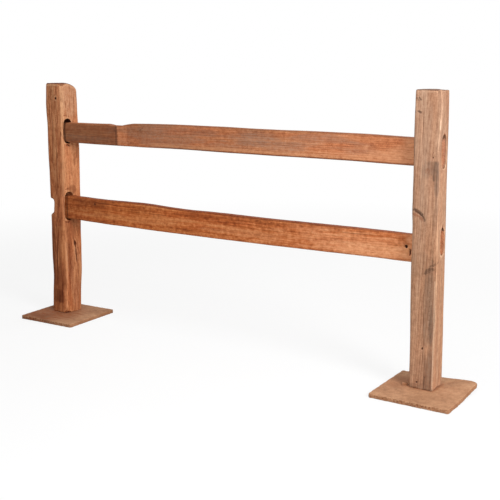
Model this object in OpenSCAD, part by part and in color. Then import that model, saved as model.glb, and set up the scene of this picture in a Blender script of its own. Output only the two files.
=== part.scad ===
// Free-standing bay of split rail fence. Two hewn posts stand on square base
// plates and carry two split rails, whose tenons lie loose in round-ended
// mortises cut right through the posts.
// +X runs along the fence, +Y to its back and +Z up. The origin is on the
// ground, at the middle of the two base plates.

/* [Fence] */
// Distance between the middles of the two posts
post_spacing = 1850; // [1500:10:2400]
// Height of the left post's top above the ground
fence_height = 1098; // [1030:1:1400]
// How much higher the right post stands
right_rise = 3; // [0:1:40]

/* [Posts] */
// Width of a post along the fence
post_width = 98; // [76:1:120]
// Depth of a post from front to back
post_depth = 99; // [72:1:120]
// Rounding worn on the long edges of a post
post_arris = 11; // [4:1:16]
// Rounding worn on the front right edge of the left post
worn_arris = 18; // [4:1:24]
// Width of the corner worn away at the back right of the left post's top
top_wear = 60; // [20:1:70]
// Depth of that worn corner
top_drop = 43; // [10:1:45]

/* [Rails] */
// Thickness of a rail from front to back
rail_thick = 37; // [28:1:46]
// Height of the upper rail at its middle
upper_height = 103; // [80:1:130]
// Height of the lower rail at its middle
lower_height = 107; // [86:1:132]
// Rounding worn on the long edges of a rail
rail_arris = 7; // [3:0.5:10]
// How far the rails bow to the back at their middle
rail_bow = 7; // [0:1:15]
// Thickness of the upper rail's tip on the right post
pared_tip = 20; // [18:1:26]
// Diameter of the peg hole in the lower rail
peg_hole = 9; // [5:0.5:14]
// Depth of the peg hole
peg_depth = 24; // [10:1:26]
// Distance from the peg hole to the right post
peg_inset = 35; // [20:1:120]
// Height of the peg hole above the rail's underside
peg_rise = 61; // [20:1:80]

/* [Mortises] */
// How much wider a mortise is than the rail in it
mortise_play = 6; // [4:0.5:10]
// Wood left between a mortise and the front of the left post
front_wall = 11; // [4:0.5:16]
// Play above the upper rail in the left post
upper_left_play = 17; // [6:1:30]
// Play above the upper rail in the right post
upper_right_play = 16; // [6:1:30]
// Play above the lower rail in the left post
lower_left_play = 16; // [6:1:30]
// Play above the lower rail in the right post
lower_right_play = 12; // [6:1:30]
// Underside of the upper mortises above the ground
upper_sill = 822; // [760:1:860]
// Underside of the lower mortise in the left post above the ground
lower_sill = 461; // [400:1:500]
// How much higher the lower mortise in the right post is cut
lower_rise = 48; // [30:1:60]
// Gap between a tenon and the seat it rests on
seat_gap = 0.3; // [0.2:0.1:1]
// Height of the broken lip of the lower mortise in the left post
lip_height = 78; // [40:1:90]
// How deep the lip is broken into the post's left face
lip_deep = 25; // [10:1:30]

/* [Base plates] */
// Side of a base plate
plate_side = 306; // [252:2:400]
// Thickness of a base plate
plate_thick = 16; // [9:0.5:25]
// Rounding of a plate's corners
plate_corner = 7; // [3:1:20]
// Turn of the left plate on its post, in degrees
left_turn = 3.6; // [0:0.1:8]
// Turn of the right plate on its post, in degrees
right_turn = 1.8; // [0:0.1:8]
// Distance that the left plate's middle stands out in front of its post's middle
left_forward = 33; // [10:1:60]
// Distance that the right plate's middle stands out in front of its post's middle
right_forward = 38; // [10:1:60]
// Distance along the fence from the left post's middle to its plate's middle
left_inward = 30; // [0:1:50]
// Distance along the fence from the right post's middle to its plate's middle
right_outward = 14; // [0:1:50]
// Diameter of the screw hole in the left plate
screw_hole = 8; // [4:0.5:12]
// Length of the worn corner of the right plate
worn_corner = 34; // [10:1:60]

/* [Hidden] */
$fn = 48;

// Half of a plate's reach along either axis, once it is turned
function reach(turn) = (plate_side / 2 - plate_corner) * (cos(turn) + sin(turn)) + plate_corner;

// The middle of the two plates together is the origin
left_reach = reach(left_turn);
right_reach = reach(right_turn);
mid_x = (left_inward - left_reach + post_spacing + right_outward + right_reach) / 2;
mid_y = (max(left_reach - left_forward, right_reach - right_forward)
    - max(left_reach + left_forward, right_reach + right_forward)) / 2;

// How far the four long edges of each post stand out of the square, at even steps
// from foot to top: front left, front right, back right and back left
left_swell = [
    [6, -7, -6, 3], [3, -9, -2, 2], [-3, -5, 5, -1], [3, -5, 8, 1],
    [1, -9, 7, 3], [1, -9, 8, 0], [3, -6, 9, -1], [5, -5, 10, 2],
    [9, -4, 9, 4], [10, -2, 6, 5], [15, -4, 2, 3], [10, -7, -1, -1]
];
right_swell = [
    [-2, 0, -2, -1], [-3, 1, -2, 0], [-3, 3, -2, 1], [-1, 5, -3, -1],
    [0, 6, -3, -2], [0, 5, -4, 0], [-1, 4, -4, 1], [1, 2, -5, 0],
    [0, 0, -5, -1], [1, -2, -5, 0], [1, -2, -5, 1], [-1, -3, -6, -1]
];
// Rounding of the same four edges
left_arris = [post_arris, worn_arris, post_arris, post_arris];
right_arris = [post_arris, post_arris, post_arris, post_arris];
post_rings = 24;

// How far the faces of each rail stand out of the straight, at even steps from the
// left mouth to the right: front, back, underside and top
upper_swell = [
    [0, 0, 3, -15], [-1, 1, 4.5, -13], [0, -1, 4, -5], [1, 0, 2, -2],
    [0, 1, 3, -2], [0, 0, 3.5, -3.5], [1, -1, 2, -2], [0, 0, 2.5, -2], [0, 0, 4.5, -5.5]
];
lower_swell = [
    [0, 0, 0.5, 1.5], [0, 1, 3.5, -1.5], [1, 0, 5, 1], [0, -1, 6, -5.5],
    [0, 1, 5.5, -4.5], [1, 0, 3.5, -4.5], [0, 0, 1, -2.5], [-1, 0, -2.5, -0.5], [0, 0, -4.5, 0]
];
rail_rings = 32;
corner_steps = 3;

// Tenons: their rounding, how far outside a post a rail is cut down to its tenon, the
// length of that step, how far the tips stop short of the post's far side, and how
// much they are thinned
tenon_round = 9;
mouth_reach = 12;
tenon_start = 1;
upper_left_short = 7;
lower_left_short = 24;
right_short = 3;
tip_taper = 4;

// The left tenons lean to the back of their mortises. The upper one on the right is
// pared away at its back, and the lower one rises above a shoulder to its tip
lean = mortise_play / 3;
shoulder_gap = 2;
shoulder_drop = 44;
shoulder_side = 0.8;
tenon_crown = 4;
tip_rise = 27;

// Mortises and their middles across the fence
mortise_width = rail_thick + mortise_play;
mortise_radius = mortise_width / 2;
left_mortise_y = -(post_depth / 2 - mortise_radius - front_wall);
right_mortise_y = 5;
right_sill = lower_sill + lower_rise;
left_mouth = post_width / 2 + mouth_reach;
right_mouth = post_spacing - post_width / 2 - mouth_reach;
shoulder_x = post_spacing - post_width / 2 - shoulder_gap;

// Height above a mortise's sill at which a tenon comes to rest, with one of its
// lower edges on the round of the sill
function seat_rise(thick, off) =
    let (side = thick / 2 - tenon_round + abs(off), drop = mortise_radius - tenon_round - seat_gap)
        mortise_radius - tenon_round - sqrt(drop * drop - side * side);

// A row of values eased between rows that stand at even steps
function eased(rows, share) =
    let (
        last = len(rows) - 1,
        i = min(floor(share * last), last - 1),
        t = share * last - i,
        before = rows[max(i - 1, 0)],
        after = rows[min(i + 2, last)]
    )
        rows[i] + t * (rows[i + 1] - before) / 2
            + t * t * (before - 2.5 * rows[i] + 2 * rows[i + 1] - after / 2)
            + t * t * t * (after - before + 3 * (rows[i] - rows[i + 1])) / 2;

// Outline of a four-cornered section with its own rounding at each corner
function rounded_section(corners, radii) =
    [for (i = [0 : 3], k = [0 : corner_steps])
        let (inward = [[1, 1], [-1, 1], [-1, -1], [1, -1]][i], angle = 180 + (i + k / corner_steps) * 90)
            corners[i] + radii[i] * (inward + [cos(angle), sin(angle)])];

// Section of a rail at one place along the fence
function rail_ring(x, mid, thick, base, top, radius) =
    let (
        front = mid - thick / 2,
        back = mid + thick / 2,
        corners = [[front, base], [back, base], [back, top], [front, top]]
    )
        [for (p = rounded_section(corners, [radius, radius, radius, radius])) [x, p[0], p[1]]];

// Body of a rail from its left mouth to its right one. Its ends are given as
// [place along the fence, middle across it, underside]
function rail_body(left, right, height, swell) =
    [for (j = [0 : rail_rings])
        let (share = j / rail_rings, at = left + share * (right - left), s = eased(swell, share))
            rail_ring(
                at[0],
                at[1] + rail_bow * sin(180 * share) + (s[1] - s[0]) / 2,
                rail_thick + s[0] + s[1],
                at[2] - s[2],
                at[2] + height + s[3],
                rail_arris
            )];

// Solid closed over a row of rings that all have as many points
module lofted(rings) {
    count = len(rings[0]);
    last = len(rings) - 1;
    polyhedron(
        points = [for (ring = rings) each ring],
        faces = concat(
            [[for (k = [0 : count - 1]) k]],
            [for (j = [0 : last - 1], k = [0 : count - 1])
                let (a = j * count + k, b = j * count + (k + 1) % count)
                    each [[a, a + count, b], [b, a + count, b + count]]],
            [[for (k = [count - 1 : -1 : 0]) last * count + k]]
        )
    );
}

// Slot with round ends that runs right through a post
module mortise(sill, height, across) {
    over = post_width;
    translate([-over, across, sill + mortise_radius])
        rotate([90, 0, 90])
            linear_extrude(2 * over)
                union() {
                    circle(mortise_radius);
                    translate([-mortise_radius, 0])
                        square([mortise_width, height - mortise_width]);
                    translate([0, height - mortise_width])
                        circle(mortise_radius);
                }
}

// Post hewn to four long edges that wander out of the square
module hewn_post(swell, arris, height) {
    half_x = post_width / 2;
    half_y = post_depth / 2;
    lofted([
        for (j = [0 : post_rings])
            let (share = j / post_rings, s = eased(swell, share))
                [for (p = rounded_section([
                    [-half_x - s[0], -half_y], [half_x + s[1], -half_y],
                    [half_x + s[2], half_y], [-half_x - s[3], half_y]
                ], arris))
                    [p[0], p[1], plate_thick + share * (height - plate_thick)]]
    ]);
}

// Lip of the lower mortise broken out of the left post's front edge: square at its
// top, ragged along its face and sloping out at its foot. Each point is
// [share of the break's depth, share of its height]
lip_break = [
    [-1, 0], [0.25, 0.02], [0.92, 0.2], [0.95, 0.55], [1.05, 0.62], [1, 0.9], [0.5, 1], [-1, 1]
];

module broken_lip() {
    side = -post_width / 2;
    foot = lower_sill + mortise_radius;
    translate([0, left_mortise_y, 0])
        rotate([90, 0, 0])
            linear_extrude(post_depth)
                polygon([for (p = lip_break) [side + p[0] * lip_deep, foot + p[1] * lip_height]]);
}

// Corner of the left post's top worn round at its back right, in a long curve that
// runs square to the corner
wear_steps = 10;

module worn_top() {
    over = post_width;
    inset = post_arris / 3;
    translate([post_width / 2, post_depth / 2, fence_height])
        rotate([0, 0, 45])
            rotate([90, 0, 0])
                linear_extrude(3 * over, center = true)
                    polygon(concat(
                        [for (k = [0 : wear_steps])
                            let (angle = 90 * k / wear_steps)
                                [top_wear * (sin(angle) - 1) - inset, top_drop * (cos(angle) - 1)]],
                        [[over, -top_drop], [over, over], [-top_wear - inset, over]]
                    ));
}

module left_post() {
    color("#a87850")
        translate([-mid_x, -mid_y, 0])
            difference() {
                hewn_post(left_swell, left_arris, fence_height);
                mortise(upper_sill, left_upper_mortise, left_mortise_y);
                mortise(lower_sill, left_lower_mortise, left_mortise_y);
                broken_lip();
                worn_top();
            }
}

module right_post() {
    color("#be9678")
        translate([post_spacing - mid_x, -mid_y, 0])
            difference() {
                hewn_post(right_swell, right_arris, fence_height + right_rise);
                mortise(upper_sill, right_upper_mortise, right_mortise_y);
                mortise(right_sill, right_lower_mortise, right_mortise_y);
            }
}

// Ends of the rails' bodies and tips: [place along, middle across, underside]
left_mid = left_mortise_y + lean;
upper_left_end = [left_mouth, left_mid, upper_sill + seat_rise(rail_thick, lean)];
lower_left_end = [left_mouth, left_mid, lower_sill + seat_rise(rail_thick, lean)];
upper_right_end = [right_mouth, right_mortise_y + lean, upper_sill + seat_rise(rail_thick, lean)];
lower_tenon_thick = rail_thick - 2 * shoulder_side;
lower_tenon_base = right_sill + seat_rise(lower_tenon_thick, 0);
lower_right_end = [shoulder_x, right_mortise_y, lower_tenon_base - shoulder_drop];

// Heights of the tenons, and of the mortises that they lie in
upper_left_tenon = upper_height + upper_swell[0][3];
upper_right_tenon = upper_height + upper_swell[len(upper_swell) - 1][3];
lower_left_tenon = lower_height + lower_swell[0][3];
lower_right_tenon = lower_height - shoulder_drop - tenon_crown;
left_upper_mortise = seat_rise(rail_thick, lean) + upper_left_tenon + upper_left_play;
left_lower_mortise = seat_rise(rail_thick, lean) + lower_left_tenon + lower_left_play;
right_upper_mortise = seat_rise(rail_thick, lean) + upper_right_tenon + upper_right_play;
right_lower_mortise = seat_rise(lower_tenon_thick, 0) + lower_right_tenon + tip_rise + lower_right_play;

// Front of the upper rail at one place along the fence
function upper_front(x) =
    let (share = (x - left_mouth) / (right_mouth - left_mouth), s = eased(upper_swell, share))
        upper_left_end[1] + share * (upper_right_end[1] - upper_left_end[1])
            + rail_bow * sin(180 * share) - rail_thick / 2 - s[0];

// Where a split ran out of the upper rail: how far from the left mouth, the hollow that
// it left in the rail's front, and the dip worn into the rail's top. Their points are
// [distance from the split, depth]
split_x = 302;
split_hollow = [[0, 0], [56, 7], [70, 6.5], [150, 0]];
split_dip = [[-70, 12], [-44, 16], [-32, 18], [18, 18], [30, 15], [54, 10], [78, 7], [106, 3]];

module split_run_out() {
    start = left_mouth + split_x;
    top = upper_left_end[2] + upper_height;
    over = post_depth;
    dip_end = split_dip[len(split_dip) - 1];
    hollow_end = split_hollow[len(split_hollow) - 1];
    translate([start, 0, 0])
        union() {
            translate([0, over, 0])
                rotate([90, 0, 0])
                    linear_extrude(2 * over)
                        polygon(concat(
                            [for (p = split_dip) [p[0], top - p[1]]],
                            [[dip_end[0], top + over], [split_dip[0][0], top + over]]
                        ));
            translate([0, 0, upper_sill - over])
                linear_extrude(2 * upper_height + over)
                    polygon(concat(
                        [for (p = split_hollow) [p[0], upper_front(start + p[0]) + p[1]]],
                        [[hollow_end[0], -over], [0, -over]]
                    ));
        }
}

module upper_rail() {
    tip = [-post_width / 2 + upper_left_short, left_mid, upper_sill + seat_rise(rail_thick - tip_taper, lean)];
    pared_mid = right_mortise_y + lean - (rail_thick - pared_tip) / 2;
    pared_off = pared_mid - right_mortise_y;
    pared_base = upper_sill + seat_rise(pared_tip, pared_off);
    color("#b06c44")
        translate([-mid_x, -mid_y, 0])
            difference() {
                lofted(concat(
                    [
                        rail_ring(tip[0], tip[1], rail_thick - tip_taper, tip[2],
                            tip[2] + upper_left_tenon - tip_taper, tenon_round),
                        rail_ring(left_mouth - tenon_start, left_mid, rail_thick, upper_left_end[2],
                            upper_left_end[2] + upper_left_tenon, tenon_round)
                    ],
                    rail_body(upper_left_end, upper_right_end, upper_height, upper_swell),
                    [
                        rail_ring(right_mouth + tenon_start, upper_right_end[1], rail_thick, upper_right_end[2],
                            upper_right_end[2] + upper_right_tenon, tenon_round),
                        rail_ring(post_spacing + post_width / 2 - right_short, pared_mid, pared_tip, pared_base,
                            upper_right_end[2] + upper_right_tenon, tenon_round)
                    ]
                ));
                split_run_out();
            }
}

module lower_rail() {
    tip = [-post_width / 2 + lower_left_short, left_mid, lower_sill + seat_rise(rail_thick - tip_taper, lean)];
    color("#b4683c")
        translate([-mid_x, -mid_y, 0])
            difference() {
                lofted(concat(
                    [
                        rail_ring(tip[0], tip[1], rail_thick - tip_taper, tip[2],
                            tip[2] + lower_left_tenon - tip_taper, tenon_round),
                        rail_ring(left_mouth - tenon_start, left_mid, rail_thick, lower_left_end[2],
                            lower_left_end[2] + lower_left_tenon, tenon_round)
                    ],
                    rail_body(lower_left_end, lower_right_end, lower_height, lower_swell),
                    [
                        rail_ring(shoulder_x, right_mortise_y, lower_tenon_thick, lower_tenon_base,
                            lower_tenon_base + lower_right_tenon, tenon_round),
                        rail_ring(post_spacing + post_width / 2 - right_short, right_mortise_y,
                            lower_tenon_thick, lower_tenon_base,
                            lower_tenon_base + lower_right_tenon + tip_rise, tenon_round)
                    ]
                ));
                translate([
                    post_spacing - post_width / 2 - peg_inset,
                    right_mortise_y - rail_thick / 2 + peg_depth,
                    lower_right_end[2] + peg_rise
                ])
                    rotate([90, 0, 0])
                        cylinder(d = peg_hole, h = 2 * peg_depth);
            }
}

// Square plate with rounded corners
module plate_blank() {
    half = plate_side / 2;
    flat = half - plate_corner;
    union() {
        translate([-flat, -half, 0])
            cube([2 * flat, plate_side, plate_thick]);
        translate([-half, -flat, 0])
            cube([plate_side, 2 * flat, plate_thick]);
        for (x = [-flat, flat], y = [-flat, flat])
            translate([x, y, 0])
                cylinder(r = plate_corner, h = plate_thick);
    }
}

// Screw hole of the left plate, out from its middle to the right and the back
screw_right = 61;
screw_back = 84;

module left_base_plate() {
    color("#a5734f")
        translate([left_inward - mid_x, -left_forward - mid_y, 0])
            rotate([0, 0, left_turn])
                difference() {
                    plate_blank();
                    translate([screw_right, screw_back, -plate_thick])
                        cylinder(d = screw_hole, h = 3 * plate_thick);
                }
}

// Corner broken off the right plate at its back right. Each point is a share of the
// break's length, out from the corner
plate_break = [[-1, 0], [-0.35, -0.2], [0, -0.6], [1, 0], [0, 1]];

module right_base_plate() {
    half = plate_side / 2;
    color("#c3946e")
        translate([post_spacing + right_outward - mid_x, -right_forward - mid_y, 0])
            rotate([0, 0, right_turn])
                difference() {
                    plate_blank();
                    translate([half, half, -plate_thick])
                        linear_extrude(3 * plate_thick)
                            polygon(worn_corner * plate_break);
                }
}

left_post();
right_post();
upper_rail();
lower_rail();
left_base_plate();
right_base_plate();
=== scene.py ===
import math
import bpy
import numpy as np
from mathutils import Matrix, Vector, noise


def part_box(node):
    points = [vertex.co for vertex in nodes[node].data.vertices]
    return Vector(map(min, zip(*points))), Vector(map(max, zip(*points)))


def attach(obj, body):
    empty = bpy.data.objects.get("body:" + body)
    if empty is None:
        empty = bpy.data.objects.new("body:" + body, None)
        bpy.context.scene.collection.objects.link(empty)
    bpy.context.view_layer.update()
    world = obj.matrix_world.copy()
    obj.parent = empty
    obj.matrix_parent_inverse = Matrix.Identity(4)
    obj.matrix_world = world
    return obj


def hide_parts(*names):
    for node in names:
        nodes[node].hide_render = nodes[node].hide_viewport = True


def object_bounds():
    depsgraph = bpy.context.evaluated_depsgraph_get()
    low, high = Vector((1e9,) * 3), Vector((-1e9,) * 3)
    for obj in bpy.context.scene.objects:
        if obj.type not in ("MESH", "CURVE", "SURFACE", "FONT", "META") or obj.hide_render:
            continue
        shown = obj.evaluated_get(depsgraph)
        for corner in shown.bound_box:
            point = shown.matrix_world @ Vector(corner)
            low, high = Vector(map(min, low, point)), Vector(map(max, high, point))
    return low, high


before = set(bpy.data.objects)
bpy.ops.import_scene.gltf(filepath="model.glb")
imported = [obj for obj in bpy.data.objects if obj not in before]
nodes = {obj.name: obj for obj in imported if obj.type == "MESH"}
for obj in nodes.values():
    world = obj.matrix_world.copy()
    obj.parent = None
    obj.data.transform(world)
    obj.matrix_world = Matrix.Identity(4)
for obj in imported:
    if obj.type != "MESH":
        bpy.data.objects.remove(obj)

bpy.ops.object.select_all(action="DESELECT")
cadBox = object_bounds()
print("loaded", sorted(nodes))


# Shader maths: a Wire wraps an output socket, so a pattern is written as a sum

class Wire:
    def __init__(self, finish, socket):
        self.finish, self.socket = finish, socket

    def math(self, operation, *terms, clamp=False):
        return self.finish.node("Math", {"operation": operation, "use_clamp": clamp}, terms)

    def __add__(self, other):
        return self.math("ADD", self, other)

    def __radd__(self, other):
        return self.math("ADD", other, self)

    def __sub__(self, other):
        return self.math("SUBTRACT", self, other)

    def __rsub__(self, other):
        return self.math("SUBTRACT", other, self)

    def __mul__(self, other):
        return self.math("MULTIPLY", self, other)

    def __rmul__(self, other):
        return self.math("MULTIPLY", other, self)

    def __truediv__(self, other):
        return self.math("DIVIDE", self, other)

    def __pow__(self, other):
        return self.math("POWER", self, other)

    def __abs__(self):
        return self.math("ABSOLUTE", self)

    # kept between 0 and 1
    def held(self):
        return self.math("ADD", self, 0.0, clamp=True)

    # 0 at low, 1 at high, with a soft start and end
    def ease(self, low, high):
        return self.finish.node("MapRange", {"interpolation_type": "SMOOTHSTEP"},
                                {"Value": self, "From Min": low, "From Max": high}, out="Result")


class Finish:
    def __init__(self, name):
        self.material = bpy.data.materials.new(name)
        self.material.use_nodes = True
        self.tree = self.material.node_tree
        self.shader = self.tree.nodes["Principled BSDF"]

    @classmethod
    def inTree(cls, tree):
        plainTree = cls.__new__(cls)
        plainTree.tree = tree
        return plainTree

    # kind is a node's type; settings go on first, then values or wires for its sockets
    def node(self, kind, settings=None, values=(), out=0):
        new = self.tree.nodes.new("ShaderNode" + kind)
        for key, value in (settings or {}).items():
            if key == "stops":
                ramp = new.color_ramp.elements
                while len(ramp) < len(value):
                    ramp.new(0.5)
                for stop, (position, colour) in zip(ramp, value):
                    stop.position, stop.color = position, (*colour, 1)
            else:
                setattr(new, key, value)
        pairs = values.items() if isinstance(values, dict) else enumerate(values)
        for key, value in pairs:
            self.plug(self.socketOf(new.inputs, key), value)
        return Wire(self, self.socketOf(new.outputs, out))

    def socketOf(self, sockets, key):
        if isinstance(key, int):
            return sockets[key]
        named = [s for s in sockets if s.identifier == key] or [s for s in sockets if s.name == key]
        return named[0]

    def plug(self, socket, value):
        if isinstance(value, Wire):
            self.tree.links.new(value.socket, socket)
        elif isinstance(value, (tuple, list)) and len(value) == 3 and socket.type == "RGBA":
            socket.default_value = (*value, 1)
        else:
            socket.default_value = value

    def blend(self, amount, under, over, mode="MIX"):
        return self.node("Mix", {"data_type": "RGBA", "blend_type": mode},
                         {"Factor_Float": amount, "A_Color": under, "B_Color": over}, out="Result_Color")

    # a value that the timber's code stored on the mesh
    def stored(self, key, out="Fac"):
        return self.node("Attribute", {"attribute_name": key}, out=out)

    def millimetres(self):
        place = self.node("TexCoord", out="Object")
        sizes = {"Vector": place, "Scale": 1000.0}
        return self.node("VectorMath", {"operation": "SCALE"}, sizes, out="Vector")

    # noise in a space squeezed by a scale for each axis, centred on 0
    def drawnNoise(self, space, scale, size, detail, rough, shift):
        moved = {"Vector": space, "Location": shift, "Scale": scale}
        drawn = self.node("Mapping", None, moved, out="Vector")
        return self.node("TexNoise", None, {"Vector": drawn, "Scale": 1 / size, "Detail": detail,
                                            "Roughness": rough}, out="Fac") - 0.5

    def threeTones(self, tone, s):
        stops = [(0.0, s["deepTone"]), (0.5, s["bodyTone"]), (1.0, s["paleTone"])]
        return self.node("ValToRGB", {"stops": stops}, [tone], out="Color")

    def bump(self, strength, height, distance=0.001):
        return self.node("Bump", None, {"Strength": strength, "Distance": distance, "Height": height},
                         out="Normal")

    def set(self, **values):
        for key, value in values.items():
            self.plug(self.shader.inputs[key.replace("_", " ")], value)


def linear(red, green, blue):
    return tuple((c / 255 / 12.92) if c <= 10 else ((c / 255 + 0.055) / 1.055) ** 2.4
                 for c in (red, green, blue))


def tones(**colours):
    return {name: linear(*colour) for name, colour in colours.items()}


# Studio: pale floor, key lamp at the right, camera

studio = {
    "cameraAt": (2.2672, -3.0517, 1.199),
    "tilt": 81.56,
    "turn": 34.81,
    "lens": 67.3,
    "sensor": 36,
    "shift": (-0.0015, -0.1005),
    # place, width, watts
    "lamps": {
        "keyLamp": ((4.1, -1.45, 2.2), 1.8, 149),
        "frontLamp": ((1.3, -1.7, 1.35), 1.2, 9.5),
        "topLamp": ((0.5, -1.0, 3.5), 2.0, 31),
        "rearLamp": ((0.0, 3.0, 2.2), 2.0, 20),
    },
    "worldLevel": 0.32,
    "floorSize": 30,
    "floorDrop": 0.0005,
    "floorShadow": 0.18,
    # the shadow fades out between these distances
    "shadowFade": (1.8, 4.5),
    "floorTone": (0.5, 0.5, 0.5),
}


def lamp(name, place, width, watts):
    bpy.ops.object.light_add(type="AREA", location=place)
    light = bpy.context.object
    light.name = name
    light.data.shape = "DISK"
    light.data.size = width
    light.data.energy = watts
    aim = Vector((0, 0, 0.5)) - Vector(place)
    light.rotation_euler = aim.to_track_quat("-Z", "Y").to_euler()
    bpy.ops.object.select_all(action="DESELECT")


def buildStudio(s):
    bpy.ops.object.camera_add(location=s["cameraAt"],
                              rotation=(math.radians(s["tilt"]), 0, math.radians(s["turn"])))
    camera = bpy.context.object
    camera.data.lens = s["lens"]
    camera.data.sensor_width = s["sensor"]
    camera.data.shift_x, camera.data.shift_y = s["shift"]
    bpy.context.scene.camera = camera
    bpy.ops.object.select_all(action="DESELECT")
    for name, (place, width, watts) in s["lamps"].items():
        lamp(name, place, width, watts)

    bpy.ops.mesh.primitive_plane_add(size=s["floorSize"], location=(0, 0, -s["floorDrop"]))
    floor = bpy.context.object
    floor.name = "studioFloor"
    floor.data.materials.append(paleFloor(s))
    bpy.ops.object.select_all(action="DESELECT")

    world = bpy.data.worlds.new("paleStudio")
    world.use_nodes = True
    bpy.context.scene.world = world
    sky = Finish.inTree(world.node_tree)
    rays = [sky.node("LightPath", out=kind)
            for kind in ("Is Camera Ray", "Is Glossy Ray", "Is Transmission Ray")]
    plainWhite = (rays[0] + rays[1] + rays[2]).held()
    level = world.node_tree.nodes["Background"]
    level.inputs["Color"].default_value = (1, 1, 1, 1)
    sky.plug(level.inputs["Strength"], s["worldLevel"] + plainWhite * (1 - s["worldLevel"]))
    bpy.context.scene.view_settings.view_transform = "Standard"
    print("studio built")


def paleFloor(s):
    paint = Finish("paleFloor")
    rays = paint.node("LightPath", out="Is Camera Ray")
    paint.set(Base_Color=paint.blend(rays, s["floorTone"], (0.95, 0.95, 0.95)), Roughness=0.9)
    glow = paint.node("Emission", None, {"Color": (1, 1, 1), "Strength": 1.0})
    place = paint.node("TexCoord", out="Object")
    reach = paint.node("VectorMath", {"operation": "LENGTH"}, [place], out="Value")
    # the shadow shows near the fence and the floor fades to plain white away from it
    shadow = (1 - reach.ease(*s["shadowFade"])) * s["floorShadow"]
    shown = paint.node("MixShader", None, [rays * (1 - shadow), Wire(paint, paint.shader.outputs[0]), glow])
    # seen from below, the floor lets the camera through
    below = paint.node("NewGeometry", out="Backfacing")
    clear = paint.node("BsdfTransparent")
    seen = paint.node("MixShader", None, [below, shown, clear])
    paint.tree.links.new(seen.socket, paint.tree.nodes["Material Output"].inputs["Surface"])
    return paint.material


buildStudio(studio)

# Timbers: each CAD timber is copied, given an even skin of small faces, then hewn, cracked and worn.
# Lengths in the timber settings are millimetres from the foot of the post (a rail: of the left post).

# each face's axis and side
faceSides = {
    "front": (1, -1), "back": (1, 1), "left": (0, -1), "right": (0, 1), "top": (2, 1), "foot": (2, -1),
}
knotReach = 1.6  # how far the grain bends round a knot, in the knot's radii
boxMargin = 0.02  # millimetres kept clear of the overall box


def smooth(value, low, high):
    t = np.clip((value - low) / (high - low), 0, 1)
    return t * t * (3 - 2 * t)


def cloud(points, size, seed):
    spots = points / np.array(size) + np.array((seed * 7.31, seed * 3.17, seed * 5.71))
    return np.array([noise.noise(spot) for spot in spots.tolist()])


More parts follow.
